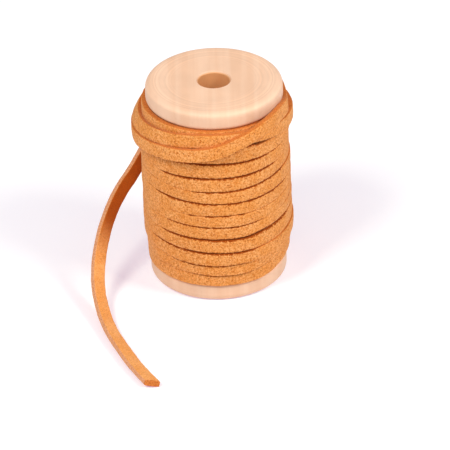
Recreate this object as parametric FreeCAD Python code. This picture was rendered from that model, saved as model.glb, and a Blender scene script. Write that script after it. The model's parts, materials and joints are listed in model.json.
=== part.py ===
"""A turned wooden spool wound with flat suede lace, in millimetres.

The spool stands on its lower flange with its axis on +Z, and the middle of its base is the
origin. -Y is the front. Every angle is in degrees anticlockwise from +X, seen from above.
"""
import FreeCAD, Part
import math
import os

Vector = FreeCAD.Vector

# The spool, turned from one piece of wood.
SPOOL_HEIGHT = 47.6
FLANGE_RADIUS = 15.0
FLANGE_THICKNESS = 4.2
CORE_RADIUS = 8.5
BORE_RADIUS = 3.45
BORE_CHAMFER = 0.4
RIM_ROUND = 1.5
CHEEK_ROUND = 0.9

# The lace, a flat strip of suede.
LACE_WIDTH = 3.0
LACE_THICKNESS = 1.4
# The wound lace is drawn in by this much each way, so that its turns stand apart.
TURN_RELIEF = 0.3
TURN_GAP = 0.45
SOFT_GAP = 0.3

# The winding: how far its full turns stand out past the flanges, and how far it is drawn in
# at its lowest two and highest two turns, from the end inwards.
WINDING_PROUD = 1.3
LOW_TURNS_DRAW = (0.8, 0.4)
HIGH_TURNS_DRAW = (2.0, 0.8)
# A turn starts at the back left. It dips at the front and climbs behind: its height at each
# quarter is in bands above its lowest. The last turn climbs this much further than a band.
FIRST_ANGLE = 135.0
QUARTER_CLIMB = (0.1, 0.1, 0.0, 0.45)
TOP_CLIMB = 1.2

# The layer's last turns are drawn in under the flange. The lace then steps out, goes round
# twice more and crosses itself before it runs down the back. Each point is (angle, layers
# out, bands down from the top, lean of the top edge inwards in degrees).
TOP_TURNS = (
    (-45, -0.35, 1.35, 2),
    (0, -0.60, 1.15, 10),
    (45, -0.60, 0.95, 6),
    (90, -0.50, 0.40, 0),
    (135, -0.50, 0.25, 0),
    (225, -0.50, 0.00, 0),
    (270, -0.95, 0.00, 0),
    (315, -1.00, 0.00, 0),
    (360, -1.30, 0.00, 0),
    (390, -0.70, 0.00, 0),
    (412, 0.15, -0.15, 10),
    (432, 0.20, -0.20, 26),
    (455, 0.80, 0.10, 26),
    (495, 0.95, 0.50, 24),
    (540, 0.95, 0.70, 27),
    (585, 0.80, 0.35, 17),
    (620, 0.30, 0.10, 7),
    (645, 0.20, 0.05, 3),
    (670, 0.35, 0.25, 0),
    (695, 0.75, 0.55, 0),
    (720, 1.05, 0.85, 0),
    (765, 1.05, 1.15, 0),
    (810, 1.05, 1.20, 0),
    (855, 1.05, 1.55, 0),
    (900, 1.15, 1.75, 0),
    (945, 1.10, 1.60, 0),
    (975, 1.30, 1.20, 0),
    (998, 1.45, 0.50, 0),
    (1016, 1.30, -0.10, 0),
    (1032, 1.30, -0.70, 3),
    (1050, 0.35, -0.60, 7),
    (1066, 0.25, -0.35, 8),
    (1080, -0.15, -0.05, 4),
    (1096, 0.05, 0.00, 5),
    (1110, 0.55, -0.10, 14),
    (1125, 1.50, 0.00, 10),
    (1142, 2.20, 0.65, 0),
    (1170, 2.10, 1.75, 0),
    (1192, 1.75, 2.95, -10),
)

# The free end of the lace: where it leaves the winding, and the corners of its way down.
TAIL_ROUTE = (
    (-14.2, 11.3, 26.3),
    (-17.7, 6.5, 21.9),
    (-22.3, 2.9, 17.2),
    (-24.8, -2.7, 13.0),
    (-26.4, -8.5, 8.5),
    (-26.8, -14.7, 4.6),
    (-25.6, -21.6, 2.2),
    (-23.8, -28.4, 1.4),
    (-21.2, -35.3, 1.25),
    (-18.5, -42.2, 1.15),
    (-15.0, -48.8, 1.1),
)
# How far the lace's width has turned over from upright at each corner, in degrees.
TAIL_TILT = (30, 38, 45, 52, 54, 56, 60, 66, 71, 75, 78)
# Each bend takes this share of the shorter of its two runs.
BEND_SHARE = 0.45

# How finely the gap between turns is measured.
SLICES_PER_ARC = 6
SLICE_MATCH = 4.0

# Sizes that follow from those above.
LOW_CHEEK = FLANGE_THICKNESS
HIGH_CHEEK = SPOOL_HEIGHT - FLANGE_THICKNESS
WOUND_WIDTH = LACE_WIDTH - TURN_RELIEF
WOUND_THICKNESS = LACE_THICKNESS - TURN_RELIEF
WINDING_RADIUS = FLANGE_RADIUS + WINDING_PROUD
LAYER_RADIUS = WINDING_RADIUS - WOUND_THICKNESS / 2
LAYER_STEP = WOUND_THICKNESS + TURN_GAP
LOW_TURN_HEIGHT = LOW_CHEEK + SOFT_GAP + WOUND_WIDTH / 2
HIGH_TURN_HEIGHT = HIGH_CHEEK - SOFT_GAP - WOUND_WIDTH / 2
EVEN_CLIMB = HIGH_TURN_HEIGHT - TOP_CLIMB - LOW_TURN_HEIGHT
TURNS = int(EVEN_CLIMB / (WOUND_WIDTH + TURN_GAP)) + 1
PITCH = EVEN_CLIMB / (TURNS - 1)
QUARTER = 360 / len(QUARTER_CLIMB)


def polar(radius, angle, height):
    """The point at a radius, an angle in degrees and a height."""
    turn = math.radians(angle)
    return Vector(radius * math.cos(turn), radius * math.sin(turn), height)


def radial(angle):
    """The direction straight out from the axis at an angle."""
    return polar(1, angle, 0)


def tangential(angle):
    """The direction of anticlockwise travel at an angle."""
    return polar(1, angle + 90, 0)


def turned(corners):
    """A solid turned about the Z axis from (radius, height, rounding) corners."""
    points = [Vector(radius, 0, height) for radius, height, _ in corners]
    ends = []
    for i, (_, _, rounding) in enumerate(corners):
        before = (points[i - 1] - points[i]).normalize()
        after = (points[(i + 1) % len(points)] - points[i]).normalize()
        half = before.getAngle(after) / 2
        reach = rounding / math.tan(half)
        bisector = (before + after).normalize()
        middle = points[i] + bisector * (rounding / math.sin(half) - rounding)
        ends.append((points[i] + before * reach, middle, points[i] + after * reach))
    edges = []
    for i, (start, middle, end) in enumerate(ends):
        if corners[i][2] > 0:
            edges.append(Part.Arc(start, middle, end).toShape())
        edges.append(Part.LineSegment(end, ends[(i + 1) % len(ends)][0]).toShape())
    face = Part.Face(Part.Wire(edges))
    return face.revolve(Vector(0, 0, 0), Vector(0, 0, 1), 360)


def spool_body():
    """The spool: two flanges with rounded rims on a core, bored through."""
    mouth = BORE_RADIUS + BORE_CHAMFER
    return turned([
        (mouth, 0, 0),
        (FLANGE_RADIUS, 0, RIM_ROUND),
        (FLANGE_RADIUS, LOW_CHEEK, CHEEK_ROUND),
        (CORE_RADIUS, LOW_CHEEK, 0),
        (CORE_RADIUS, HIGH_CHEEK, 0),
        (FLANGE_RADIUS, HIGH_CHEEK, CHEEK_ROUND),
        (FLANGE_RADIUS, SPOOL_HEIGHT, RIM_ROUND),
        (mouth, SPOOL_HEIGHT, 0),
        (BORE_RADIUS, SPOOL_HEIGHT - BORE_CHAMFER, 0),
        (BORE_RADIUS, BORE_CHAMFER, 0),
    ])


def lace_inner_layers():
    """The layers of lace under the outer turns, as one sleeve round the core, narrower at its ends."""
    inside = CORE_RADIUS + SOFT_GAP
    outside = WINDING_RADIUS - WOUND_THICKNESS - SOFT_GAP
    low = LOW_CHEEK + SOFT_GAP
    high = HIGH_CHEEK - SOFT_GAP
    return turned([
        (inside, low, 0),
        (outside - LOW_TURNS_DRAW[0], low, 0),
        (outside - LOW_TURNS_DRAW[0], low + 1.5 * PITCH, 0),
        (outside - LOW_TURNS_DRAW[1], low + 2 * PITCH, 0),
        (outside - LOW_TURNS_DRAW[1], low + 2.5 * PITCH, 0),
        (outside, low + 3 * PITCH, 0),
        (outside, high - 3 * PITCH, 0),
        (outside - HIGH_TURNS_DRAW[1], high - 2 * PITCH, 0),
        (outside - HIGH_TURNS_DRAW[1], high - 1.5 * PITCH, 0),
        (outside - HIGH_TURNS_DRAW[0], high - PITCH, 0),
        (outside - HIGH_TURNS_DRAW[0], high, 0),
        (inside, high, 0),
    ])


def turn_radius(turn):
    """The radius of a turn of the outer layer, counted from the lowest."""
    if turn < len(LOW_TURNS_DRAW):
        return LAYER_RADIUS - LOW_TURNS_DRAW[turn]
    return LAYER_RADIUS


def wound_stations():
    """Points along the wound lace: (angle, radius, height, lean).

    The layer's turns climb a band each. The last of them and those over it follow TOP_TURNS.
    """
    top_start = 360 * (TURNS - 1)
    stations = []
    for turn in range(TURNS - 1):
        for quarter, climb in enumerate(QUARTER_CLIMB):
            angle = FIRST_ANGLE + 360 * turn + QUARTER * quarter
            if angle < top_start + TOP_TURNS[0][0]:
                height = LOW_TURN_HEIGHT + PITCH * (turn + climb)
                stations.append((angle, turn_radius(turn), height, 0))
    for angle, layers, bands, lean in TOP_TURNS:
        radius = LAYER_RADIUS + LAYER_STEP * layers
        stations.append((top_start + angle, radius, HIGH_TURN_HEIGHT - PITCH * bands, lean))
    return stations


def steady_slope(before, here, after, column):
    """The slope per degree of one column at a station, level at its peaks and flats."""
    coming = (here[column] - before[column]) / (here[0] - before[0])
    going = (after[column] - here[column]) / (after[0] - here[0])
    if coming * going <= 0:
        return 0
    return 2 * coming * going / (coming + going)


def wound_points():
    """The wound lace's (point, tangent, angle, lean) at each station but the last."""
    stations = wound_stations()
    points = []
    for i, (angle, radius, height, lean) in enumerate(stations):
        before = stations[max(i - 1, 0)]
        after = stations[min(i + 1, len(stations) - 1)]
        if before is stations[i] or after is stations[i]:
            outwards = 0
            upwards = 0
        else:
            outwards = steady_slope(before, stations[i], after, 1)
            upwards = steady_slope(before, stations[i], after, 2)
        travel = tangential(angle) * (radius * math.radians(1))
        travel = travel + radial(angle) * outwards + Vector(0, 0, upwards)
        points.append((polar(radius, angle, height), travel.normalize(), angle, lean))
    return points


def lace_section(point, tangent, outward, lean, width, thickness):
    """The lace's outline across its run, its top edge leaning inwards by an angle."""
    outward = (outward - tangent * outward.dot(tangent)).normalize()
    upward = outward.cross(tangent)
    turn = math.radians(lean)
    across = upward * math.cos(turn) - outward * math.sin(turn)
    through = outward * math.cos(turn) + upward * math.sin(turn)
    corners = []
    for x, y in ((-1, -1), (1, -1), (1, 1), (-1, 1)):
        corners.append(point + through * (x * thickness / 2) + across * (y * width / 2))
    return corners


def closed_wire(corners):
    """A closed wire of straight edges."""
    return Part.makePolygon(corners + corners[:1])


def tangent_arc(start, tangent, end):
    """The arc that leaves a point along a tangent and reaches another point."""
    chord = end - start
    turn = tangent.getAngle(chord)
    if turn < 1e-6:
        return Part.LineSegment(start, end)
    side = (tangent * chord.Length - chord * math.cos(turn)).normalize()
    middle = start + chord / 2 + side * (chord.Length / 2 * math.tan(turn / 2))
    return Part.Arc(start, middle, end)


def biarc(start, leaving, end, arriving):
    """Two arcs that run smoothly from one point and tangent to another."""
    chord = end - start
    both = leaving + arriving
    bend = 2 * (1 - leaving.dot(arriving))
    half = chord.dot(both)
    if bend < 1e-9:
        reach = chord.dot(chord) / (2 * half)
    else:
        reach = (math.sqrt(half * half + bend * chord.dot(chord)) - half) / bend
    joint = (start + end + (leaving - arriving) * reach) / 2
    through = (chord - both * reach).normalize()
    return [tangent_arc(start, leaving, joint), tangent_arc(joint, through, end)]


def tail_points():
    """The corners of the lace's free end."""
    return [Vector(*corner) for corner in TAIL_ROUTE]


def wound_path():
    """The wound lace's (edges, stations), with a straight lead at each end."""
    leave = tail_points()[0]
    leaving = (tail_points()[1] - leave).normalize()
    points = wound_points()
    first = points[0]
    last_angle = math.degrees(math.atan2(leave.y, leave.x))
    points.append((leave - leaving * LACE_WIDTH, leaving, last_angle, -TAIL_TILT[0]))
    lead = first[0] - first[1] * LACE_WIDTH
    edges = [Part.LineSegment(lead, first[0])]
    for here, after in zip(points, points[1:]):
        edges += biarc(here[0], here[1], after[0], after[1])
    edges.append(Part.LineSegment(points[-1][0], leave))
    points.insert(0, (lead, first[1], first[2], first[3]))
    points.append((leave, leaving, last_angle, -TAIL_TILT[0]))
    return edges, points


def wound_outline(point, tangent, angle, lean):
    """The wound lace's outline at a station."""
    return lace_section(point, tangent, radial(angle), lean, WOUND_WIDTH, WOUND_THICKNESS)


def lace_outer_layer():
    """The outer turns: one unbroken lace, swept along the turns."""
    edges, points = wound_path()
    path = Part.Wire([edge.toShape() for edge in edges])
    sections = [closed_wire(wound_outline(*point)) for point in points]
    solid = path.makePipeShell(sections, True, False)
    gap, angle, height = least_self_gap(station_slices(edges, points))
    print("winding turns:", TURNS, "and two over them, wound length:", round(path.Length, 1))
    print("least gap to itself:", round(gap, 3), "at angle", round(angle), "height", round(height, 1))
    report_volume("winding", solid, path.Length, WOUND_WIDTH * WOUND_THICKNESS)
    return solid


def station_slices(edges, points):
    """Slices of the wound lace, a few degrees apart: (angle, point, outline)."""
    slices = []
    for i, (here, after) in enumerate(zip(points[1:-2], points[2:-1])):
        for arc, share in ((edges[1 + 2 * i], 0.0), (edges[2 + 2 * i], 0.5)):
            for step in range(SLICES_PER_ARC):
                part = step / SLICES_PER_ARC
                at = arc.FirstParameter + part * (arc.LastParameter - arc.FirstParameter)
                point = arc.value(at)
                tangent = arc.tangent(at)[0]
                lean = here[3] + (share + part / 2) * (after[3] - here[3])
                angle = math.degrees(math.atan2(point.y, point.x))
                slices.append((angle, point, wound_outline(point, tangent, angle, lean)))
    return slices


def outline_gap(corners, outline):
    """The least distance from some corners to a lace outline, taken in its own plane."""
    middle = (outline[0] + outline[2]) / 2
    through = (outline[1] - outline[0]).normalize()
    across = (outline[3] - outline[0]).normalize()
    least = math.inf
    for corner in corners:
        offset = corner - middle
        x = max(abs(offset.dot(through)) - WOUND_THICKNESS / 2, 0)
        y = max(abs(offset.dot(across)) - WOUND_WIDTH / 2, 0)
        least = min(least, math.hypot(x, y))
    return least


def least_self_gap(slices):
    """The least gap between any two turns, and the angle and height where it lies."""
    least = (math.inf, 0, 0)
    for i, (angle, point, outline) in enumerate(slices):
        for other_angle, other_point, other_outline in slices[i + 2 * SLICES_PER_ARC:]:
            apart = abs((angle - other_angle + 180) % 360 - 180)
            if apart > SLICE_MATCH or (point - other_point).Length > 2 * LACE_WIDTH:
                continue
            gap = min(outline_gap(outline, other_outline), outline_gap(other_outline, outline))
            if gap < least[0]:
                least = (gap, angle, point.z)
    return least


def tail_path():
    """The free lace's (edges, sections, bend radii): straight runs joined by tangent arcs."""
    corners = tail_points()
    runs = [after - here for here, after in zip(corners, corners[1:])]
    ways = [Vector(run).normalize() for run in runs]
    edges = []
    stations = [(corners[0], ways[0], TAIL_TILT[0])]
    radii = []
    here = corners[0]
    for i, corner in enumerate(corners[1:-1]):
        reach = BEND_SHARE * min(runs[i].Length, runs[i + 1].Length)
        half = ways[i].getAngle(ways[i + 1]) / 2
        radius = reach / math.tan(half)
        start = corner - ways[i] * reach
        end = corner + ways[i + 1] * reach
        inwards = (ways[i + 1] - ways[i]).normalize()
        middle = corner + inwards * (radius / math.cos(half) - radius)
        edges.append(Part.LineSegment(here, start))
        edges.append(Part.Arc(start, middle, end))
        stations.append((start, ways[i], TAIL_TILT[i + 1]))
        radii.append(radius)
        here = end
    edges.append(Part.LineSegment(here, corners[-1]))
    stations.append((corners[-1], ways[-1], TAIL_TILT[-1]))
    return edges, stations, radii


def lace_tail():
    """The free end of the lace, from the winding down to the surface that it lies on."""
    edges, stations, radii = tail_path()
    path = Part.Wire([edge.toShape() for edge in edges])
    sections = []
    for point, tangent, tilt in stations:
        outward = tangent.cross(Vector(0, 0, 1))
        outline = lace_section(point, tangent, outward, -tilt, LACE_WIDTH, LACE_THICKNESS)
        sections.append(closed_wire(outline))
    solid = path.makePipeShell(sections, True, False)
    print("tail bend radii:", [round(radius, 1) for radius in radii])
    print("tail length:", round(path.Length, 1), "lowest point:", round(lowest_point(solid), 2))
    report_volume("tail", solid, path.Length, LACE_WIDTH * LACE_THICKNESS)
    return solid


def lowest_point(solid):
    """The height of a solid's lowest corner or edge."""
    return min(vertex.Z for vertex in solid.Vertexes)


def report_volume(name, solid, length, section):
    """Print a swept solid's volume beside its section times its length."""
    print(name, "volume:", round(solid.Volume, 1), "section x length:", round(section * length, 1))


def main():
    """Write one file for each piece."""
    os.makedirs("parts", exist_ok=True)
    for piece in (spool_body, lace_inner_layers, lace_outer_layer, lace_tail):
        solid = piece()
        solid.exportStep("parts/" + piece.__name__ + ".step")
        print(piece.__name__, "valid:", solid.isValid(), "volume:", round(solid.Volume, 1))


main()
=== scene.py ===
"""A turned birch spool wound with flat tan suede lace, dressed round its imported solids.

The spool stands on its lower flange with its axis on +Z and the middle of its base at the
origin, and -Y is the front. Lengths in the tables are millimetres. Angles are degrees
anticlockwise from +X seen from above, and they count on from turn to turn.
"""

import json
import logging
import math
from dataclasses import dataclass
from enum import Enum

import bmesh
import bpy
from mathutils import Matrix, Vector, noise

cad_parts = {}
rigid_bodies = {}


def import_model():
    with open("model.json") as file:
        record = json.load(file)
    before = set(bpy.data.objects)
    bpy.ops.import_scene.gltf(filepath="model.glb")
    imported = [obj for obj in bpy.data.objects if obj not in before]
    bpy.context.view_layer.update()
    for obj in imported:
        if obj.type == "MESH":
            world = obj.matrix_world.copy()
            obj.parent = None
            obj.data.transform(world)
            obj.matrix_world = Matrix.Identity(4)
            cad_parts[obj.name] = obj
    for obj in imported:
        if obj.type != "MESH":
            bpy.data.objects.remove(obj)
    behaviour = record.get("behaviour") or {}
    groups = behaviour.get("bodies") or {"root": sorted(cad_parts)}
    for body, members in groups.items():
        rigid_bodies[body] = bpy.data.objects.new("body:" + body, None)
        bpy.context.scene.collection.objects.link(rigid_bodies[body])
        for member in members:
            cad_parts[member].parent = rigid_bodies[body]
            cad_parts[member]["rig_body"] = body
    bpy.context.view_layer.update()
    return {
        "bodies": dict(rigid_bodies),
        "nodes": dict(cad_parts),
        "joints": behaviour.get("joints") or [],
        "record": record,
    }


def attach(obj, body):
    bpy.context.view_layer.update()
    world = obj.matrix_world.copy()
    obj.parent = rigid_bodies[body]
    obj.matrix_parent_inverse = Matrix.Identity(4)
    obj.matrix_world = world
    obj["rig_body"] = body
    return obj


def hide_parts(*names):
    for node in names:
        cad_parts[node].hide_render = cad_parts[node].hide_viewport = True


MM = 0.001
FULL_TURN = 360
MERGE_DISTANCE = 1e-7
LOG = logging.getLogger("lace_spool")

Colour = tuple[float, float, float, float]
Table = tuple[tuple[float, float], ...]


class Node(Enum):
    """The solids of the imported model."""

    SPOOL = "spool_body"
    INNER = "lace_inner_layers"
    OUTER = "lace_outer_layer"
    TAIL = "lace_tail"


class Slot(Enum):
    """The material slots of the record."""

    WOOD = "birch_wood"
    SUEDE = "tan_suede"


# ---------------------------------------------------------------------------------------
# Materials
# ---------------------------------------------------------------------------------------


class Value:
    """A number that a material works out over a surface, held as a node's output socket."""

    def __init__(self, graph: "Graph", socket: bpy.types.NodeSocket) -> None:
        """Wraps a socket.

        Args:
            graph: the material's graph, which adds the Math nodes.
            socket: the output socket that holds the number.
        """
        self.graph = graph
        self.socket = socket

    def _maths(self, operation: str, first: object, second: object) -> "Value":
        """Adds one Math node.

        Args:
            operation: the node's operation.
            first: the first number or value.
            second: the second number or value.

        Returns:
            The node's output.
        """
        return self.graph.value(
            "ShaderNodeMath", {"operation": operation}, {0: first, 1: second}
        )

    def __add__(self, other: object) -> "Value":
        """Adds a number or value."""
        return self._maths("ADD", self, other)

    def __radd__(self, other: object) -> "Value":
        """Is added to a number."""
        return self._maths("ADD", other, self)

    def __sub__(self, other: object) -> "Value":
        """Subtracts a number or value."""
        return self._maths("SUBTRACT", self, other)

    def __rsub__(self, other: object) -> "Value":
        """Is subtracted from a number."""
        return self._maths("SUBTRACT", other, self)

    def __mul__(self, other: object) -> "Value":
        """Multiplies by a number or value."""
        return self._maths("MULTIPLY", self, other)

    def ramp(self, low: float, high: float) -> "Value":
        """Runs smoothly from 0 to 1.

        Args:
            low: where the result is 0.
            high: where the result is 1.

        Returns:
            The eased value.
        """
        return self.graph.value(
            "ShaderNodeMapRange",
            {"interpolation_type": "SMOOTHSTEP"},
            {"Value": self, "From Min": low, "From Max": high},
        )


class Graph:
    """A material's nodes, each added with its settings first and its sockets after."""

    def __init__(self, name: str) -> None:
        """Starts a material with an empty graph.

        Args:
            name: the material's name.
        """
        self.material = bpy.data.materials.new(name)
        self.material.use_nodes = True
        self.tree = self.material.node_tree
        self.tree.nodes.clear()
        self.output = self.node("ShaderNodeOutputMaterial")

    def node(
        self,
        kind: str,
        settings: dict[str, object] | None = None,
        inputs: dict[str | int, object] | None = None,
    ) -> bpy.types.Node:
        """Adds a node.

        Args:
            kind: the node's type.
            settings: the node's own properties.
            inputs: values or links for its sockets, by name or number.

        Returns:
            The node.
        """
        node = self.tree.nodes.new(kind)
        for name, setting in (settings or {}).items():
            setattr(node, name, setting)
        for name, given in (inputs or {}).items():
            socket = node.inputs[name]
            if isinstance(given, Value):
                given = given.socket
            if isinstance(given, bpy.types.NodeSocket):
                self.tree.links.new(given, socket)
            else:
                socket.default_value = given
        return node

    def value(
        self,
        kind: str,
        settings: dict[str, object] | None = None,
        inputs: dict[str | int, object] | None = None,
        output: str | int = 0,
    ) -> Value:
        """Adds a node and wraps one of its outputs as a number.

        Args:
            kind: the node's type.
            settings: the node's own properties.
            inputs: values or links for its sockets.
            output: the output's name or number.

        Returns:
            The wrapped output.
        """
        return Value(self, self.node(kind, settings, inputs).outputs[output])

    def mix(self, share: object, low: object, high: object) -> bpy.types.NodeSocket:
        """Mixes two colours.

        Args:
            share: how much of the second colour, 0 to 1.
            low: the first colour.
            high: the second colour.

        Returns:
            The mixed colour's socket.
        """
        node = self.node("ShaderNodeMix", {"data_type": "RGBA"}, {0: share, 6: low, 7: high})
        return node.outputs[2]

    def shade(self, colour: object, share: Value, low: float, high: float) -> object:
        """Lightens or darkens a colour by a value.

        Args:
            colour: the colour to change.
            share: a value from 0 to 1.
            low: the brightness at 0.
            high: the brightness at 1.

        Returns:
            The new colour's socket.
        """
        scaled = self.node(
            "ShaderNodeVectorMath",
            {"operation": "SCALE"},
            {0: colour, "Scale": share * (high - low) + low},
        )
        return scaled.outputs[0]

    def marked(self, layer: str) -> Value:
        """A number that the mesh carries at its points.

        Args:
            layer: the name of the mesh's layer.

        Returns:
            The number, 0 where the mesh has no such layer.
        """
        return self.value("ShaderNodeAttribute", {"attribute_name": layer}, None, "Fac")

    def place(self) -> bpy.types.NodeSocket:
        """The point of the object that is shaded, in metres."""
        return self.node("ShaderNodeTexCoord").outputs["Object"]

    def stretched(self, scale: tuple[float, float, float]) -> bpy.types.NodeSocket:
        """The object's coordinates, scaled by different amounts.

        Args:
            scale: how much each axis is scaled.

        Returns:
            The scaled point's socket.
        """
        node = self.node("ShaderNodeMapping", None, {"Vector": self.place(), "Scale": scale})
        return node.outputs[0]

    def noise(
        self, size: float, detail: float = 2.0, roughness: float = 0.5, at: object = None
    ) -> Value:
        """A noise over the object.

        Args:
            size: the noise's grain, in millimetres.
            detail: how many finer layers it has.
            roughness: how strong those are.
            at: where it is read, in place of the object's own coordinates.

        Returns:
            The noise, mostly from 0.3 to 0.7.
        """
        return self.value(
            "ShaderNodeTexNoise",
            None,
            {
                "Vector": at or self.place(),
                "Scale": 1.0 / (size * MM),
                "Detail": detail,
                "Roughness": roughness,
            },
        )

    def finish(self, shader: bpy.types.Node) -> bpy.types.Material:
        """Connects the shader to the output.

        Args:
            shader: the last shader.

        Returns:
            The finished material.
        """
        self.tree.links.new(shader.outputs[0], self.output.inputs["Surface"])
        return self.material


@dataclass(frozen=True)
class SuedeFinish:
    """Flat suede lace: a grainy napped face, brown specks and duller cut edges, with painted
    shade in the gaps and on the free end's upper face, and the free end's cut edges painted
    lighter.
    """

    face: Colour = (0.850, 0.355, 0.095, 1.0)
    pale: Colour = (0.920, 0.450, 0.165, 1.0)
    deep: Colour = (0.600, 0.165, 0.018, 1.0)
    speck: Colour = (0.420, 0.080, 0.004, 1.0)
    edge: Colour = (0.700, 0.215, 0.042, 1.0)
    edge_streak: Colour = (0.500, 0.115, 0.016, 1.0)
    # The free end's cut edges, painted lighter as if lit by the lamp.
    lit_edge: Colour = (0.840, 0.410, 0.215, 1.0)
    lit_streak: Colour = (0.560, 0.185, 0.060, 1.0)
    # Painted shade along the rims of the open gaps between the turns.
    painted_gap_shade: Colour = (0.330, 0.058, 0.003, 1.0)
    # Painted shade on the free end's inward face, near the spool.
    painted_shade: Colour = (0.500, 0.105, 0.010, 1.0)

    def material(self) -> bpy.types.Material:
        """Builds the suede's material.

        Returns:
            The material, which reads the strip's cut_edge, open_rim, bare and stain: open_rim
            and stain carry painted shade, and bare a painted lighter edge colour and a smoother
            nap.
        """
        graph = Graph("tan_suede")
        blotch = graph.noise(3.4, 3.0)
        nap = graph.noise(0.42, 4.0, 0.70)
        fine = graph.noise(0.15, 3.0, 0.6)
        pits = graph.noise(0.38, 2.0, 0.6)
        colour = graph.mix(blotch.ramp(0.35, 0.65) * 0.6, self.face, self.pale)
        # The free end's nap is smoother, with less grain and fewer specks.
        grain = 1.0 - graph.marked("lit_and_smooth") * 0.55
        colour = graph.mix((1.0 - nap.ramp(0.38, 0.60)) * grain * 0.82, colour, self.deep)
        colour = graph.mix(pits.ramp(0.59, 0.66) * grain * 0.75, colour, self.speck)
        # Painted shade on the free end's inward face, near the spool.
        colour = graph.mix(graph.marked("painted_shade"), colour, self.painted_shade)
        colour = graph.shade(colour, fine.ramp(0.30, 0.70), 0.80, 1.18)
        colour = graph.mix(self._cut(graph, nap), colour, self._edge_colour(graph))
        # Painted shade along the ragged rims of the open gaps.
        colour = graph.mix(self._painted_gap_shade(graph), colour, self.painted_gap_shade)
        height = nap * 0.6 + fine * 0.4 - pits.ramp(0.58, 0.75) * 0.5
        bump = graph.node(
            "ShaderNodeBump", None, {"Strength": 0.9, "Distance": 0.16 * MM, "Height": height}
        )
        shader = graph.node(
            "ShaderNodeBsdfPrincipled",
            None,
            {
                "Base Color": colour,
                "Roughness": 0.92,
                "Specular IOR Level": 0.12,
                "Sheen Weight": 0.42,
                "Sheen Roughness": 0.35,
                "Sheen Tint": (1.0, 0.66, 0.40, 1.0),
                "Normal": bump.outputs[0],
            },
        )
        return graph.finish(shader)

    def _cut(self, graph: Graph, nap: Value) -> Value:
        """How much of the surface is a cut edge, with a nap that strays over its rim.

        Args:
            graph: the suede's graph.
            nap: the nap's noise.

        Returns:
            The share, 1 on the cut edges.
        """
        return (graph.marked("cut_edge") + (nap - 0.5) * 0.6).ramp(0.35, 0.75)

    def _edge_colour(self, graph: Graph) -> bpy.types.NodeSocket:
        """The layered colour of the cut edges, painted lighter on the free end as if lit.

        Args:
            graph: the suede's graph.

        Returns:
            The colour's socket.
        """
        streaks = graph.noise(0.28, 4.0, 0.7).ramp(0.42, 0.64)
        lit_and_smooth = graph.marked("lit_and_smooth")
        light = graph.mix(lit_and_smooth, self.edge, self.lit_edge)
        dark = graph.mix(lit_and_smooth, self.edge_streak, self.lit_streak)
        return graph.mix(streaks, light, dark)

    def _painted_gap_shade(self, graph: Graph) -> Value:
        """Painted shade along the open gaps between the turns, ragged where the nap hangs over.

        Args:
            graph: the suede's graph.

        Returns:
            The fringe's share.
        """
        ragged = graph.noise(0.55, 3.0, 0.7)
        return (graph.marked("open_rim") + (ragged - 0.5) * 2.2).ramp(0.62, 0.92)


@dataclass(frozen=True)
class BirchFinish:
    """Pale turned birch: straight growth bands through the blank, and faint tool rings."""

    pale: Colour = (0.880, 0.580, 0.400, 1.0)
    warm: Colour = (0.800, 0.460, 0.275, 1.0)
    pore: Colour = (0.640, 0.340, 0.190, 1.0)
    bore_wall: Colour = (0.740, 0.360, 0.150, 1.0)
    bore_radius: float = 3.45
    bore_mouth: float = 3.80
    plain_radius: float = 7.0
    ringed_radius: float = 12.0

    def material(self) -> bpy.types.Material:
        """Builds the wood's material.

        Returns:
            The material, on the spool's own coordinates.
        """
        graph = Graph("birch_wood")
        growth = graph.noise(2.4, 3.0, 0.55, graph.stretched((1.0, 0.035, 0.035)))
        cloud = graph.noise(7.0, 2.0, 0.5)
        pores = graph.noise(0.34, 3.0, 0.6, graph.stretched((1.0, 1.0, 0.22)))
        colour = graph.mix(growth.ramp(0.36, 0.66) * 0.45, self.pale, self.warm)
        colour = graph.shade(colour, cloud.ramp(0.3, 0.7), 0.96, 1.03)
        colour = graph.mix(pores.ramp(0.60, 0.74) * 0.22, colour, self.pore)
        radius = self._radius(graph)
        line = graph.node("ShaderNodeCombineXYZ", None, {"X": radius})
        rings = graph.noise(0.55, 2.0, 0.6, line.outputs[0]).ramp(0.3, 0.7) - 0.5
        rings = rings * radius.ramp(self.plain_radius * MM, self.ringed_radius * MM) + 0.5
        colour = graph.shade(colour, rings, 0.90, 1.07)
        # A darker, warmer colour inside the bore and on its mouth.
        mouth = radius.ramp(self.bore_radius * MM, self.bore_mouth * MM)
        colour = graph.mix(mouth, self.bore_wall, colour)
        height = rings * 0.5 + pores.ramp(0.55, 0.75) * -0.6 + growth * 0.3
        bump = graph.node(
            "ShaderNodeBump", None, {"Strength": 0.5, "Distance": 0.05 * MM, "Height": height}
        )
        shader = graph.node(
            "ShaderNodeBsdfPrincipled",
            None,
            {
                "Base Color": colour,
                "Roughness": 0.55 + (cloud - 0.5) * 0.2,
                "Specular IOR Level": 0.3,
                "Normal": bump.outputs[0],
            },
        )
        return graph.finish(shader)

    def _radius(self, graph: Graph) -> Value:
        """How far the shaded point is from the spool's axis.

        Args:
            graph: the wood's graph.

        Returns:
            The radius, in metres.
        """
        flat = graph.node(
            "ShaderNodeVectorMath", {"operation": "MULTIPLY"}, {0: graph.place(), 1: (1, 1, 0)}
        )
        return graph.value(
            "ShaderNodeVectorMath", {"operation": "LENGTH"}, {0: flat.outputs[0]}, "Value"
        )


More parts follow.
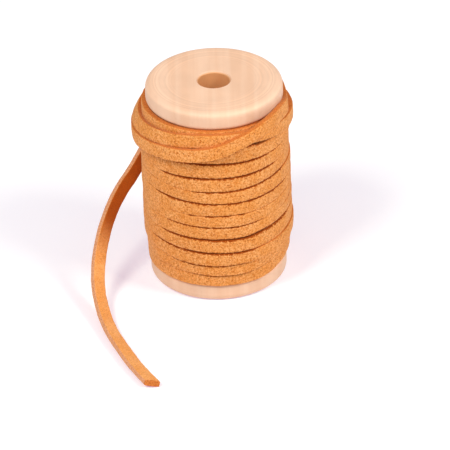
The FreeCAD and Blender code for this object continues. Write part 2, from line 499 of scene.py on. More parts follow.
@dataclass(frozen=True)
class FloorFinish:
    """A white floor that shows the object's soft shadow and a white distance."""

    bounce: Colour = (0.88, 0.86, 0.87, 1.0)
    shadow: Colour = (0.27, 0.18, 0.36, 1.0)
    lit: Colour = (0.82, 0.90, 0.74, 1.0)

    def material(self) -> bpy.types.Material:
        """Builds the floor's material.

        Returns:
            The material: a plain diffuse floor, and for the camera a nearly white one.
        """
        graph = Graph("studio_floor")
        rays = graph.node("ShaderNodeLightPath")
        seen = Value(graph, rays.outputs["Is Camera Ray"])
        seen = seen + Value(graph, rays.outputs["Is Glossy Ray"])
        seen = seen + Value(graph, rays.outputs["Is Transmission Ray"])
        plain = graph.node("ShaderNodeBsdfDiffuse", None, {"Color": self.bounce})
        lit = graph.node("ShaderNodeBsdfDiffuse", None, {"Color": self.lit})
        glow = graph.node("ShaderNodeEmission", None, {"Color": self.shadow, "Strength": 1.0})
        white = graph.node(
            "ShaderNodeAddShader", None, {0: lit.outputs[0], 1: glow.outputs[0]}
        )
        shader = graph.node(
            "ShaderNodeMixShader", None, {0: seen, 1: plain.outputs[0], 2: white.outputs[0]}
        )
        return graph.finish(shader)


# ---------------------------------------------------------------------------------------
# The lace's strip
# ---------------------------------------------------------------------------------------


def place_object(name: str, data: bpy.types.ID) -> bpy.types.Object:
    """Puts data into the scene as an object at the origin.

    Args:
        name: the object's name.
        data: a mesh, lamp, camera or curve.

    Returns:
        The object.
    """
    placed = bpy.data.objects.new(name, data)
    bpy.context.scene.collection.objects.link(placed)
    return placed


def place_mesh(name: str, mesh: bmesh.types.BMesh) -> bpy.types.Object:
    """Turns a worked mesh into an object, and frees it.

    Args:
        name: the object's and the mesh's name.
        mesh: the worked mesh.

    Returns:
        The object.
    """
    data = bpy.data.meshes.new(name)
    mesh.to_mesh(data)
    mesh.free()
    return place_object(name, data)


@dataclass(frozen=True)
class Gap:
    """The gap beside a turn: how far it stands open, and how much shade is painted on its
    ragged rim.
    """

    open: float = 0.6
    dark: float = 0.0


@dataclass(frozen=True)
class Station:
    """A point of the wound lace's run."""

    angle: float
    radius: float
    height: float
    lean: float
    width: float
    gaps: tuple[Gap, Gap]


@dataclass(frozen=True)
class Frame:
    """The lace's place at one point: its middle and its three directions, in metres."""

    middle: Vector
    along: Vector
    through: Vector
    across: Vector
    width: float
    thickness: float
    over: Gap
    under: Gap
    slant: float = 0.0
    painted_shade: float = 0.0


def lace_frame(
    middle: Vector,
    along: Vector,
    outward: Vector,
    lean: float,
    size: tuple[float, float],
    gaps: tuple[Gap, Gap] = (Gap(), Gap()),
    slant: float = 0.0,
    painted_shade: float = 0.0,
) -> Frame:
    """The lace's place at a point, its top edge leaning inwards by an angle.

    Args:
        middle: the point, in millimetres.
        along: the way that the lace runs.
        outward: the way that its face looks, roughly.
        lean: how far its top edge leans inwards, in degrees.
        size: its width and thickness there, in millimetres.
        gaps: the gaps over and under it.
        slant: how far a cut across it runs along it, for each millimetre of its width.
        painted_shade: how much shade is painted on its inner face, where the spool shades it.

    Returns:
        The frame, in metres.
    """
    along = along.normalized()
    outward = (outward - along * outward.dot(along)).normalized()
    upward = outward.cross(along)
    turn = math.radians(lean)
    across = upward * math.cos(turn) - outward * math.sin(turn)
    through = outward * math.cos(turn) + upward * math.sin(turn)
    width, thickness = size
    size = (width * MM, thickness * MM)
    return Frame(middle * MM, along, through, across, *size, *gaps, slant, painted_shade)


@dataclass(frozen=True)
class OutlinePoint:
    """A point of the lace's cross-section, in millimetres, and the way it faces.

    Its place is given twice: pressed square against its neighbours, and worn round.
    """

    pressed: Vector
    worn: Vector
    facing: Vector
    cut: float
    rim: float


@dataclass
class Strip:
    """Flat lace laid along a row of frames, with soft faces and ragged cut edges."""

    width: float = 3.0
    thickness: float = 1.3
    corner: float = 0.30
    pressed_corner: float = 0.10
    crown: float = 0.06
    face_steps: int = 8
    edge_steps: int = 3
    corner_steps: int = 2
    wobble: float = 0.050
    wobble_size: float = 2.4
    ragged: float = 0.060
    face_ragged: float = 0.02
    ragged_size: float = 0.55
    rim_shade: float = 0.7
    end_rim: float = 0.12
    end_paleness: float = 0.35
    # How much of the painted lighter edge colour and the smoother nap the strip gets.
    lit_and_smooth: float = 0.0

    def outline(self) -> list[OutlinePoint]:
        """The lace's cross-section, anticlockwise from the foot of its outer face.

        Returns:
            The outline's points, cut from 0 on a napped face to 1 on a cut edge, and rim
            from 0 on the outer face to 1 inside the gaps beside it.
        """
        points = []
        pairs = zip(self._rounded(self.pressed_corner), self._rounded(self.corner))
        for (pressed, facing, cut), (worn, _, _) in pairs:
            beside = abs(worn.y) >= self.width / 2 - self.corner - 0.001
            rim = max(self.rim_shade, min(1.0, cut * 2)) if beside else 0.0
            points.append(OutlinePoint(pressed, worn, facing, cut, rim))
        return points

    def _rounded(self, corner: float) -> list[tuple[Vector, Vector, float]]:
        """The cross-section with one radius at its corners.

        Args:
            corner: the corners' radius, in millimetres.

        Returns:
            (place, the way it faces, cut) for each point.
        """
        centre = Vector((self.thickness / 2 - corner, -self.width / 2 + corner))
        centres = [
            Vector((centre.x, centre.y)),
            Vector((centre.x, -centre.y)),
            Vector((-centre.x, -centre.y)),
            Vector((-centre.x, centre.y)),
        ]
        points = []
        for side in range(4):
            start, end = centres[side], centres[(side + 1) % 4]
            facing = Vector((math.cos(side * math.pi / 2), math.sin(side * math.pi / 2)))
            on_edge = side % 2
            steps = self.edge_steps if on_edge else self.face_steps
            for step in range(steps):
                share = step / steps
                bulge = 0.0 if on_edge else self.crown * 4 * share * (1 - share)
                spot = start.lerp(end, share) + facing * (corner + bulge)
                points.append((spot, facing, float(on_edge)))
            for step in range(self.corner_steps):
                share = step / self.corner_steps
                turned = Matrix.Rotation(share * math.pi / 2, 2) @ facing
                points.append((end + turned * corner, turned, abs(on_edge - share)))
        return points

    def build(self, name: str, frames: list[Frame]) -> bpy.types.Object:
        """Wraps a flat grid round the frames into a closed strip.

        Args:
            name: the piece's name.
            frames: the lace's places, in order.

        Returns:
            The strip, whose cut_edge attribute marks its cut edges, open_rim where shade is
            painted on the sides of the gaps between its turns, bare where its edges are painted
            lighter as if lit and its nap is smoother, and stain where shade is painted on its
            inner face.
        """
        outline = self.outline()
        rows, columns = len(frames) - 1, len(outline)
        mesh = bmesh.new()
        mesh.loops.layers.uv.new("along_lace")
        cut_layer = mesh.verts.layers.float.new("cut_edge")
        rim_layer = mesh.verts.layers.float.new("open_rim")
        lit_and_smooth_layer = mesh.verts.layers.float.new("lit_and_smooth")
        painted_shade_layer = mesh.verts.layers.float.new("painted_shade")
        bmesh.ops.create_grid(
            mesh, x_segments=rows, y_segments=columns, size=0.5, calc_uvs=True
        )
        seam = []
        for vertex in mesh.verts:
            row = round((vertex.co.x + 0.5) * rows)
            column = round((vertex.co.y + 0.5) * columns)
            point = outline[column % columns]
            gap = frames[row].over if point.worn.y > 0 else frames[row].under
            vertex[cut_layer] = point.cut
            vertex[rim_layer] = point.rim * gap.dark
            vertex[lit_and_smooth_layer] = self.lit_and_smooth
            # Painted shade goes on the inward face only.
            vertex[painted_shade_layer] = frames[row].painted_shade if point.facing.x < -0.9 else 0.0
            vertex.co = self._lay(frames[row], point, gap)
            if column in (0, columns):
                seam.append(vertex)
        bmesh.ops.remove_doubles(mesh, verts=seam, dist=MERGE_DISTANCE)
        rims = [edge for edge in mesh.edges if edge.is_boundary]
        caps = bmesh.ops.holes_fill(mesh, edges=rims, sides=0)["faces"]
        bmesh.ops.recalc_face_normals(mesh, faces=mesh.faces)
        for face in mesh.faces:
            face.smooth = True
        self._close_ends(mesh, caps, cut_layer, lit_and_smooth_layer)
        return place_mesh(name, mesh)

    def _lay(self, frame: Frame, point: OutlinePoint, gap: Gap) -> Vector:
        """Places one point of the cross-section, with the surface's small unevenness.

        Args:
            frame: the lace's place.
            point: the outline's point.
            gap: the gap on the point's side of the lace.

        Returns:
            The point, in metres.
        """
        flat = point.pressed.lerp(point.worn, gap.open)
        spot = (
            frame.middle
            + frame.through * (flat.x * frame.thickness / self.thickness)
            + frame.across * (flat.y * frame.width / self.width)
            + frame.along * (flat.y * frame.slant * MM)
        )
        facing = frame.through * point.facing.x + frame.across * point.facing.y
        soft = noise.noise(spot / (self.wobble_size * MM)) * self.wobble
        roughness = self.face_ragged + self.ragged * point.cut
        rough = noise.noise(spot / (self.ragged_size * MM)) * roughness
        return spot + facing * ((soft + rough) * MM)

    def _close_ends(
        self,
        mesh: bmesh.types.BMesh,
        caps: list[bmesh.types.BMFace],
        cut_layer: bmesh.types.BMLayerItem,
        lit_and_smooth_layer: bmesh.types.BMLayerItem,
    ) -> None:
        """Gives the strip's two cut ends a crisp rim and a darker cut face.

        Args:
            mesh: the strip's mesh.
            caps: the faces that close its ends.
            cut_layer: the layer that marks the cut edges.
            lit_and_smooth_layer: the layer that marks the free end's cut edges, painted lighter
                as if lit, and its smoother nap.
        """
        rims = bmesh.ops.inset_individual(
            mesh, faces=caps, thickness=self.end_rim * MM, depth=0.0
        )
        for face in [*rims["faces"], *caps]:
            face.smooth = False
            for vertex in face.verts:
                vertex[cut_layer] = 1.0
                # The cut ends keep only part of the painted lighter edge colour.
                vertex[lit_and_smooth_layer] *= self.end_paleness


# ---------------------------------------------------------------------------------------
# The wound lace
# ---------------------------------------------------------------------------------------


def steady_slopes(at: list[float], values: list[float]) -> list[float]:
    """Slopes for a smooth curve through points that never overshoots them.

    Args:
        at: where the points are.
        values: their values.

    Returns:
        One slope for each point.
    """
    slopes = [0.0] * len(at)
    for i in range(1, len(at) - 1):
        coming = (values[i] - values[i - 1]) / (at[i] - at[i - 1])
        going = (values[i + 1] - values[i]) / (at[i + 1] - at[i])
        if coming * going > 0:
            slopes[i] = 2 * coming * going / (coming + going)
    return slopes


class Track:
    """A smooth curve of one quantity against an angle, a height or a share of the way."""

    def __init__(self, points: Table) -> None:
        """Keeps the curve's points.

        Args:
            points: (place, value) pairs in order.
        """
        self.at = [point[0] for point in points]
        self.values = [point[1] for point in points]
        self.slopes = steady_slopes(self.at, self.values)

    def __call__(self, angle: float) -> float:
        """The curve's value at a place.

        Args:
            angle: the angle, or whatever the curve's points are given by.

        Returns:
            The value, level beyond either end.
        """
        if angle <= self.at[0]:
            return self.values[0]
        if angle >= self.at[-1]:
            return self.values[-1]
        i = next(k for k in range(len(self.at) - 1) if angle < self.at[k + 1])
        run = self.at[i + 1] - self.at[i]
        share = (angle - self.at[i]) / run
        rest = 1 - share
        return (
            self.values[i] * (1 + 2 * share) * rest * rest
            + self.slopes[i] * run * share * rest * rest
            + self.values[i + 1] * share * share * (3 - 2 * share)
            - self.slopes[i + 1] * run * share * share * rest
        )


@dataclass
class Winding:
    """The outer turns, the two turns over them that cross, and the run down the back."""

    start: float = -110.0
    top_start: float = 3900.0
    step: float = 2.0
    open_gap: float = 0.30
    dark_gap: float = 0.10
    thickness: float = 1.3
    narrowest: float = 2.4
    widest: float = 3.7
    top_width: float = 3.05
    top_lead: float = 60.0
    leave_turns: int = 3
    leave_lean: float = -30.0
    sway: float = 0.10
    sway_angle: float = 31.0
    twist: float = 3.0
    twist_angle: float = 47.0
    # The lower edge of the first turn and of the start of the second, as (angle, height).
    foot: Table = (
        (-110, 4.25), (300, 4.25), (315, 4.6), (325, 5.2), (345, 6.1), (365, 6.85),
        (385, 7.12),
    )
    # The upper edge of each turn of the layer, as (angle, height).
    edges: Table = (
        (-110, 7.1), (90, 7.15), (180, 7.7), (215, 7.75), (240, 7.45), (270, 6.95),
        (290, 6.95), (300, 7.2), (315, 8.05), (325, 8.6), (360, 9.3), (450, 10.3),
        (540, 10.9), (575, 10.86), (595, 10.1), (630, 9.7), (655, 9.85), (690, 10.5),
        (720, 11.3), (810, 12.9), (900, 14.0), (923, 14.0), (940, 13.75), (965, 13.35),
        (990, 13.0), (1010, 12.9), (1040, 13.3), (1080, 14.2), (1170, 15.8),
        (1260, 17.1), (1280, 17.1), (1300, 16.9), (1335, 16.5), (1350, 16.4),
        (1370, 16.3), (1385, 16.75), (1400, 17.1), (1410, 17.4), (1440, 18.0),
        (1530, 19.3), (1620, 20.2), (1662, 19.95), (1710, 19.6), (1725, 19.5),
        (1745, 19.7), (1800, 20.8), (1890, 22.3), (1980, 23.1), (2020, 22.9),
        (2050, 22.5), (2090, 22.5), (2160, 23.6), (2250, 25.2), (2340, 26.1),
        (2377, 26.0), (2430, 25.6), (2450, 25.5), (2490, 25.9), (2520, 26.4),
        (2610, 27.9), (2700, 29.0), (2740, 28.9), (2770, 28.6), (2790, 28.6),
        (2810, 28.7), (2848, 29.4), (2880, 29.9), (2970, 31.0), (3060, 31.7),
        (3105, 31.7), (3150, 32.0), (3170, 32.0), (3190, 32.1), (3240, 32.8),
        (3330, 34.2), (3420, 35.1), (3462, 35.2), (3492, 35.7), (3510, 35.7),
        (3540, 35.4), (3570, 35.9), (3600, 36.4), (3690, 37.4), (3780, 38.1),
        (3822, 38.3), (3870, 39.0), (3885, 39.4), (3904, 39.45), (3919, 39.3),
        (3935, 39.3), (3960, 39.6),
    )
    # The gap over each turn of the layer, as (angle, width). A gap of dark_gap or more
    # shows as a dark line, and gets the full painted shade on its ragged rim.
    gaps: Table = (
        (-110, 0.03), (232, 0.02), (248, 0.10), (262, 0.14), (300, 0.14), (322, 0.10),
        (334, 0.02), (572, 0.02), (585, 0.10), (605, 0.22), (645, 0.17), (660, 0.02),
        (924, 0.03), (935, 0.12), (955, 0.17), (1000, 0.17), (1020, 0.10), (1030, 0.02),
        (1296, 0.02), (1308, 0.12), (1340, 0.20), (1375, 0.30), (1405, 0.30),
        (1424, 0.03), (1658, 0.02), (1670, 0.10), (1700, 0.13), (1740, 0.12),
        (1752, 0.02), (2044, 0.01), (2050, 0.11), (2057, 0.03), (2062, 0.11),
        (2078, 0.11), (2084, 0.03), (2088, 0.10), (2095, 0.01), (2366, 0.02),
        (2380, 0.10), (2400, 0.17), (2450, 0.17), (2492, 0.12), (2502, 0.02),
        (2762, 0.02), (2772, 0.08), (2810, 0.12), (2845, 0.12), (2858, 0.02),
        (3098, 0.02), (3110, 0.16),
        (3150, 0.22), (3180, 0.17), (3200, 0.10), (3206, 0.02), (3455, 0.02),
        (3468, 0.18), (3510, 0.20), (3550, 0.26), (3575, 0.24), (3590, 0.03),
        (3820, 0.03), (3850, 0.14), (3880, 0.22), (3940, 0.22), (3955, 0.08),
    )
    # How much shade is painted in the gap under the last turns, counted as they are, as (angle,
    # dark).
    top_shade: Table = (
        (-60, 0.6), (-20, 0.3), (0, 0.0), (560, 0.0), (575, 0.8), (690, 0.9), (705, 0.0),
        (870, 0.0), (890, 0.8), (1000, 0.9), (1025, 0.6), (1045, 0.0),
    )
    # The outside radius of the turns of the layer, as (angle, radius).
    radii: Table = (
        (-110, 13.0), (-60, 13.8), (-30, 14.6), (0, 15.2), (60, 15.5), (180, 15.45),
        (270, 15.5), (360, 15.75), (450, 15.85), (540, 15.7), (630, 15.95),
        (720, 16.1), (810, 16.2), (900, 16.2), (990, 16.35),
        (1080, 16.7), (1170, 16.3), (1260, 16.25), (1350, 16.3),
        (1440, 16.4), (1620, 16.3), (1710, 16.2), (1800, 16.35), (1980, 16.25),
        (2070, 16.4), (2160, 16.3), (2340, 16.35), (2430, 16.3), (2520, 16.3),
        (2700, 16.3), (2790, 16.35), (2880, 16.25), (3060, 16.3), (3150, 16.3),
        (3240, 16.0), (3420, 16.35), (3510, 16.3), (3600, 16.0), (3690, 16.2),
        (3780, 16.3), (3870, 16.35), (3900, 16.4),
    )
    # The last turns, counted from the layer's last: (angle, radius of the middle, height,
    # lean of the top edge inwards).
    top: tuple[tuple[float, float, float, float], ...] = (
        (-60, 15.75, 37.15, 0), (-40, 15.7, 37.25, 3), (-22, 15.6, 37.6, 6),
        (0, 15.35, 37.95, 10), (45, 15.2, 38.8, 6), (90, 15.3, 40.3, 0),
        (135, 15.3, 41.4, 0), (180, 15.3, 41.9, 0), (230, 15.2, 41.95, 0),
        (250, 15.0, 41.9, 0), (270, 14.85, 41.85, 0), (300, 14.6, 41.8, 0),
        (330, 14.2, 41.7, 0), (360, 13.95, 41.65, 0), (390, 14.1, 41.7, 0),
        (410, 14.9, 42.1, 18), (430, 16.0, 42.1, 30), (450, 16.75, 41.4, 26),
        (495, 17.0, 40.1, 24), (540, 16.9, 39.35, 27), (560, 16.80, 39.70, 22),
        (590, 16.40, 40.55, 14), (622, 16.25, 41.55, 6), (637, 16.2, 41.65, 4),
        (650, 16.15, 41.55, 2), (664, 16.15, 41.2, 0), (679, 16.2, 40.65, 0),
        (695, 16.3, 40.2, 0), (720, 16.4, 39.7, 0), (765, 16.6, 38.9, 0),
        (810, 16.9, 38.0, 0), (855, 17.3, 37.0, 0), (900, 17.65, 36.6, 0),
        (935, 17.65, 37.3, 4), (950, 17.65, 37.75, 6), (960, 17.65, 38.05, 6),
        (971, 17.6, 38.4, 6), (983, 17.5, 38.9, 4), (991, 17.4, 39.45, 2),
        (998, 17.35, 40.15, 0),
        (1005, 17.25, 40.95, 0), (1012, 17.2, 41.65, 0), (1022, 17.1, 42.6, 0),
        (1030, 16.9, 43.2, 2), (1041, 16.4, 43.45, 6), (1055, 15.9, 43.25, 8),
        (1065, 15.7, 42.8, 8), (1080, 15.3, 41.9, 4), (1095, 15.5, 41.9, 4),
        (1110, 16.3, 42.1, 14), (1125, 17.4, 41.3, 10), (1140, 17.95, 39.9, 0),
        (1155, 18.0, 38.2, 0), (1170, 17.9, 36.2, 0), (1190, 17.6, 32.9, 0),
        (1210, 17.95, 28.9, 0),
    )

    def station(self, angle: float) -> Station:
        """The lace's place in the layer.

        Args:
            angle: the angle, counted on through the turns.

        Returns:
            The station.
        """
        over_gap, under_gap = self.gap_track(angle), self.gap_track(angle - FULL_TURN)
        above_foot = angle > self.foot[-1][0]
        below = angle - FULL_TURN
        under = self.edge_track(below) if above_foot else self.foot_track(angle)
        under += under_gap / 2
        over = self.edge_track(angle) - over_gap / 2
        width = min(max(over - under, self.narrowest), self.widest)
        height = (over + under) / 2
        beside = [
            Gap(min(gap / self.open_gap, 1.0), min(gap / self.dark_gap, 1.0))
            for gap in (over_gap, under_gap)
        ]
        return Station(
            angle,
            self.radius_track(angle) - self.thickness / 2,
            height,
            0.0,
            width,
            (beside[0], beside[1]),
        )

    def __post_init__(self) -> None:
        """Makes the curves that the stations are read from."""
        self.foot_track = Track(self.foot)
        self.edge_track = Track(self.edges)
        self.radius_track = Track(self.radii)
        self.gap_track = Track(self.gaps)
        self.shade_track = Track(self.top_shade)

    def stations(self, leave: Vector) -> list[Station]:
        """Every station of the wound lace, a few degrees apart.

        Args:
            leave: where the free end leaves the winding, in millimetres.

        Returns:
            The stations in order, the last of them where the free end leaves.
        """
        shift = self.top_start + self.top_lead
        last = math.degrees(math.atan2(leave.y, leave.x)) + self.leave_turns * FULL_TURN
        rows = [*self.top, (last, leave.xy.length, leave.z, self.leave_lean)]
        tracks = [Track(tuple((row[0] + shift, row[k]) for row in rows)) for k in (1, 2, 3)]
        found = []
        count = round((last + shift - self.start) / self.step)
        for i in range(count + 1):
            angle = self.start + (last + shift - self.start) * i / count
            if angle < self.top_start:
                found.append(self.station(angle))
            else:
                radius, height, lean = (track(angle) for track in tracks)
                # The last turns' lower edges get the painted shade from top_shade.
                gaps = (Gap(), Gap(dark=self.shade_track(angle - shift)))
                found.append(Station(angle, radius, height, lean, self.top_width, gaps))
        return found

    def frames(self, leave: Vector, leaving: Vector) -> list[Frame]:
        """The lace's places along the whole winding.

        Args:
            leave: where the free end leaves the winding, in millimetres.
            leaving: the way that it leaves.

        Returns:
            The frames in order.
        """
        stations = self.stations(leave)
        middles = []
        for station in stations:
            turn = math.radians(station.angle)
            sway = noise.noise(Vector((station.angle / self.sway_angle, 4.2, 0.0)))
            radius = station.radius + sway * self.sway
            middles.append(
                Vector((radius * math.cos(turn), radius * math.sin(turn), station.height))
            )
        middles[-1] = leave.copy()
        frames = []
        for i, station in enumerate(stations):
            ahead = middles[min(i + 1, len(middles) - 1)]
            behind = middles[max(i - 1, 0)]
            along = leaving if i == len(stations) - 1 else ahead - behind
            turn = math.radians(station.angle)
            outward = Vector((math.cos(turn), math.sin(turn), 0.0))
            twist = noise.noise(Vector((station.angle / self.twist_angle, 0.0, 9.1)))
            tilt = station.lean + twist * self.twist
            size = (station.width, self.thickness)
            frames.append(
                lace_frame(middles[i], along, outward, tilt, size, station.gaps)
            )
        return frames

    def build(self, leave: Vector, leaving: Vector) -> bpy.types.Object:
        """Builds the wound lace.

        Args:
            leave: where the free end leaves the winding, in millimetres.
            leaving: the way that it leaves.

        Returns:
            The piece, which stands for the outer layer's solid.
        """
        strip = Strip(thickness=self.thickness)
        piece = strip.build("wound_lace", self.frames(leave, leaving))
        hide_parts(Node.OUTER.value)
        return piece


@dataclass
class InnerLayers:
    """The layers of lace under the outer turns, ridged where each turn lies."""

    inside: float = 8.8
    turns: int = 12
    ridge: float = 0.30
    ridge_steps: int = 6
    ridge_power: int = 6
    edge_share: float = 0.5
    segments: int = 120
    # The layers' outside, as (height, radius).
    outside: Table = (
        (4.4, 14.0), (9.0, 14.0), (10.6, 14.4), (12.2, 14.45), (14.0, 14.75),
        (33.0, 14.75), (35.6, 14.2), (38.2, 14.0), (39.8, 12.8), (43.1, 12.8),
    )

    def profile(self) -> list[Vector]:
        """The layers' section beside the axis.

        Returns:
            Points in millimetres, up the ridged outside and down the core.
        """
        outside = Track(self.outside)
        low, high = self.outside[0][0], self.outside[-1][0]
        points = [Vector((self.inside, 0.0, low))]
        pitch = (high - low) / self.turns
        steps = self.ridge_steps
        for i in range(self.turns * steps + 1):
            share = i / steps % 1.0
            groove = (2 * share - 1) ** self.ridge_power
            height = low + pitch * i / steps
            points.append(Vector((outside(height) - self.ridge * groove, 0.0, height)))
        points.append(Vector((self.inside, 0.0, high)))
        return points

    def build(self) -> bpy.types.Object:
        """Turns the section about the axis.

        Returns:
            The piece, which stands for the inner layers' solid.
        """
        profile = self.profile()
        mesh = bmesh.new()
        cut_layer = mesh.verts.layers.float.new("cut_edge")
        ring = bmesh.ops.create_circle(mesh, segments=len(profile), radius=1.0)["verts"]
        for vertex, spot in zip(ring, profile):
            vertex.co = spot * MM
        bmesh.ops.spin(
            mesh,
            geom=[*mesh.verts, *mesh.edges],
            cent=(0, 0, 0),
            axis=(0, 0, 1),
            dvec=(0, 0, 0),
            angle=math.tau,
            steps=self.segments,
            use_merge=True,
        )
        bmesh.ops.remove_doubles(mesh, verts=mesh.verts, dist=MERGE_DISTANCE)
        bmesh.ops.recalc_face_normals(mesh, faces=mesh.faces)
        for vertex in mesh.verts:
            vertex[cut_layer] = self.edge_share
        for face in mesh.faces:
            face.smooth = True
        piece = place_mesh("under_layers", mesh)
        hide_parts(Node.INNER.value)
        return piece


@dataclass
class FreeEnd:
    """The free end of the lace: down from the winding, over the floor and to its cut end."""

    length: float = 73.7
    width: float = 3.05
    slack_width: float = 0.15
    slack_share: float = 0.5
    thickness: float = 1.3
    step: float = 0.45
    slant: float = -0.45
    slant_run: float = 3.0
    route: tuple[tuple[float, float, float], ...] = (
        (-14.2, 11.3, 26.3),
        (-17.7, 6.5, 21.9),
        (-22.0, 2.8, 17.3),
        (-24.8, -2.7, 13.0),
        (-26.4, -8.5, 8.5),
        (-26.8, -14.7, 4.6),
        (-25.6, -21.6, 2.2),
        (-23.8, -28.4, 1.4),
        (-21.2, -35.3, 1.25),
        (-18.5, -42.2, 1.15),
        (-15.0, -48.8, 1.1),
    )
    # How far the lace's width has turned over from upright, by share of the route.
    tilt: Table = (
        (0.0, 20), (0.06, 18), (0.17, 22), (0.28, 33), (0.39, 45), (0.50, 52),
        (0.61, 59), (0.72, 66), (0.83, 71), (0.94, 75), (1.0, 78),
    )
    # How much shade is painted on the face that lay inwards, darkest near the spool, by share
    # of the route.
    painted_shade: Table = (
        (0.0, 1.0), (0.24, 1.0), (0.31, 0.55), (0.38, 0.1), (0.44, 0.0), (1.0, 0.0),
    )

    def corners(self) -> list[Vector]:
        """The route's points."""
        return [Vector(point) for point in self.route]

    def centreline(self) -> list[Vector]:
        """The smooth line that the lace follows.

        Returns:
            Points in metres, as Blender reads them from the route's NURBS spline.
        """
        curve = bpy.data.curves.new("free_end_route", "CURVE")
        curve.dimensions = "3D"
        spline = curve.splines.new("NURBS")
        spline.points.add(len(self.route) - 1)
        for point, corner in zip(spline.points, self.corners()):
            point.co = (*(corner * MM), 1.0)
        spline.order_u = 3
        spline.use_endpoint_u = True
        spline.resolution_u = 24
        carrier = place_object("free_end_route", curve)
        bpy.context.view_layer.update()
        depsgraph = bpy.context.evaluated_depsgraph_get()
        line = bpy.data.meshes.new_from_object(carrier.evaluated_get(depsgraph))
        points = [vertex.co.copy() for vertex in line.vertices]
        bpy.data.meshes.remove(line)
        bpy.data.objects.remove(carrier)
        bpy.data.curves.remove(curve)
        return points

    def evenly(self, points: list[Vector]) -> list[tuple[float, Vector]]:
        """Points at even steps along a line.

        Args:
            points: the line's own points.

        Returns:
            (share of the way through the line's points, point) pairs.
        """
        lengths = [0.0]
        for here, after in zip(points, points[1:]):
            lengths.append(lengths[-1] + (after - here).length)
        count = round(lengths[-1] / (self.step * MM))
        found = []
        k = 0
        for i in range(count + 1):
            wanted = lengths[-1] * i / count
            while k < len(points) - 2 and lengths[k + 1] < wanted:
                k += 1
            share = (wanted - lengths[k]) / (lengths[k + 1] - lengths[k])
            spot = points[k].lerp(points[k + 1], share)
            found.append(((k + share) / (len(points) - 1), spot))
        return found

    def frames(self, points: list[Vector]) -> list[Frame]:
        """The lace's places along its free end, twisting slowly towards lying flat.

        Args:
            points: the centreline's points, in metres.

        Returns:
            The frames in order.
        """
        tilt = Track(self.tilt)
        painted_shade = Track(self.painted_shade)
        steps = self.evenly(points)
        frames = []
        for i, (share, point) in enumerate(steps):
            ahead = steps[min(i + 1, len(steps) - 1)][1]
            behind = steps[max(i - 1, 0)][1]
            along = ahead - behind
            outward = along.cross(Vector((0.0, 0.0, 1.0)))
            left = (len(steps) - 1 - i) * self.step
            slant = self.slant * max(0.0, 1.0 - left / self.slant_run)
            slack = self.slack_width * max(0.0, 1.0 - share / self.slack_share)
            size = (self.width + slack, self.thickness)
            frames.append(
                lace_frame(
                    point / MM,
                    along,
                    outward,
                    -tilt(share),
                    size,
                    slant=slant,
                    painted_shade=painted_shade(share),
                )
            )
        return frames

    def build(self, wound: list[bpy.types.Object]) -> bpy.types.Object:
        """Args:
            wound: the pieces of wound lace that it comes from; not used.

        Returns:
            The piece, which stands for the free end's solid.
        """
        points = self.centreline()
        # The free end gets the painted lighter cut edges and the smoother nap.
        strip = Strip(thickness=self.thickness, lit_and_smooth=1.0)
        piece = strip.build("free_end", self.frames(points))
        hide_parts(Node.TAIL.value)
        return piece


# ---------------------------------------------------------------------------------------
# The studio
# ---------------------------------------------------------------------------------------


@dataclass(frozen=True)
class SoftLight:
    """A square soft lamp that looks at the object."""

    name: str
    azimuth: float
    elevation: float
    distance: float
    size: float
    power: float

    def build(self, target: Vector) -> None:
        """Hangs the lamp.

        Args:
            target: the point that it looks at, in metres.
        """
        data = bpy.data.lights.new(self.name, "AREA")
        data.shape = "SQUARE"
        data.size = self.size
        data.energy = self.power
        lamp = place_object(self.name, data)
        around, up = math.radians(self.azimuth), math.radians(self.elevation)
        way = Vector(
            (math.sin(around) * math.cos(up), -math.cos(around) * math.cos(up), math.sin(up))
        )
        lamp.location = target + way * self.distance
        lamp.rotation_euler = way.to_track_quat("Z", "Y").to_euler()


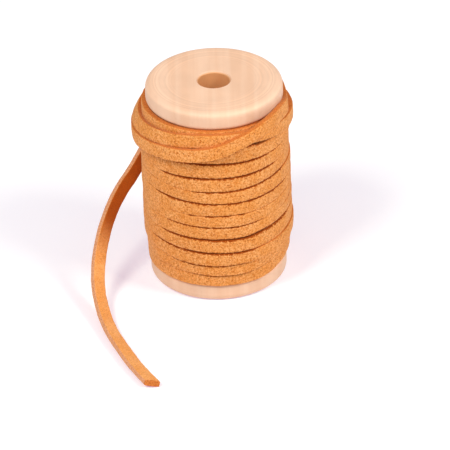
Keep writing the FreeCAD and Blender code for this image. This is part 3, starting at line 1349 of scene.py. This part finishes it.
@dataclass
class Studio:
    """A white floor, three soft lamps and a long-lens camera."""

    camera_place: tuple[float, float, float] = (1.541, -1023.424, 637.047)
    camera_elevation: float = 31.477
    camera_roll: float = -1.647
    lens: float = 434.68
    floor_size: float = 6.0
    lamp_target: tuple[float, float, float] = (0.0, 0.0, 0.02)
    ambient: float = 0.42
    lamps: tuple[SoftLight, ...] = (
        SoftLight("lamp_left", -45.0, 49.0, 0.70, 0.22, 2.4),
        SoftLight("lamp_right", 62.0, 42.0, 0.70, 0.24, 2.4),
        SoftLight("lamp_front", 8.0, 24.0, 0.90, 0.60, 0.9),
    )

    def build(self) -> None:
        """Builds the floor, the lamps, the world and the camera."""
        self._floor()
        for lamp in self.lamps:
            lamp.build(Vector(self.lamp_target))
        self._world()
        self._camera()
        bpy.context.scene.view_settings.view_transform = "Standard"

    def _floor(self) -> None:
        """Lays the floor."""
        mesh = bmesh.new()
        bmesh.ops.create_grid(mesh, x_segments=1, y_segments=1, size=self.floor_size / 2)
        floor = place_mesh("studio_floor", mesh)
        floor.data.materials.append(FloorFinish().material())

    def _world(self) -> None:
        """Lights the room evenly, and shows white behind the floor."""
        world = bpy.data.worlds.new("studio_world")
        world.use_nodes = True
        tree = world.node_tree
        tree.nodes.clear()
        rays = tree.nodes.new("ShaderNodeLightPath")
        seen = tree.nodes.new("ShaderNodeBackground")
        seen.inputs["Color"].default_value = (1.0, 1.0, 1.0, 1.0)
        room = tree.nodes.new("ShaderNodeBackground")
        room.inputs["Color"].default_value = (1.0, 0.99, 0.98, 1.0)
        room.inputs["Strength"].default_value = self.ambient
        mix = tree.nodes.new("ShaderNodeMixShader")
        out = tree.nodes.new("ShaderNodeOutputWorld")
        tree.links.new(rays.outputs["Is Camera Ray"], mix.inputs[0])
        tree.links.new(room.outputs[0], mix.inputs[1])
        tree.links.new(seen.outputs[0], mix.inputs[2])
        tree.links.new(mix.outputs[0], out.inputs["Surface"])
        bpy.context.scene.world = world

    def _camera(self) -> None:
        """Sets the camera."""
        data = bpy.data.cameras.new("studio_camera")
        data.sensor_width = 36.0
        data.lens = self.lens
        data.clip_start, data.clip_end = 0.01, 20.0
        camera = place_object("studio_camera", data)
        up = math.radians(self.camera_elevation)
        roll = math.radians(self.camera_roll)
        forward = Vector((0.0, math.cos(up), -math.sin(up)))
        right = Vector((1.0, 0.0, 0.0))
        above = right.cross(forward)
        across = right * math.cos(roll) + above * math.sin(roll)
        top = above * math.cos(roll) - right * math.sin(roll)
        turn = Matrix((across, top, -forward)).transposed()
        camera.matrix_world = Matrix.Translation(Vector(self.camera_place) * MM) @ turn.to_4x4()
        bpy.context.scene.camera = camera


# ---------------------------------------------------------------------------------------
# The whole object
# ---------------------------------------------------------------------------------------


def dress(piece: bpy.types.Object, material: bpy.types.Material) -> None:
    """Gives a piece its material and its slot, and hangs it on the model's one body.

    Args:
        piece: the piece.
        material: its material.
    """
    piece.data.materials.clear()
    piece.data.materials.append(material)
    if "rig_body" not in piece:
        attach(piece, "root")
    LOG.info("%s: %d faces", piece.name, len(piece.data.polygons))


def main() -> None:
    """Builds the dressed object, the studio and the camera."""
    logging.basicConfig(level=logging.INFO, format="%(name)s: %(message)s")
    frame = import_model()
    suede = SuedeFinish().material()
    dress(frame["nodes"][Node.SPOOL.value], BirchFinish().material())
    under_layers = InnerLayers().build()
    dress(under_layers, suede)
    free_end = FreeEnd()
    leave, after = free_end.corners()[:2]
    winding = Winding().build(leave, after - leave)
    dress(winding, suede)
    dress(free_end.build([winding, under_layers]), suede)
    Studio().build()


if __name__ == "__main__":
    main()
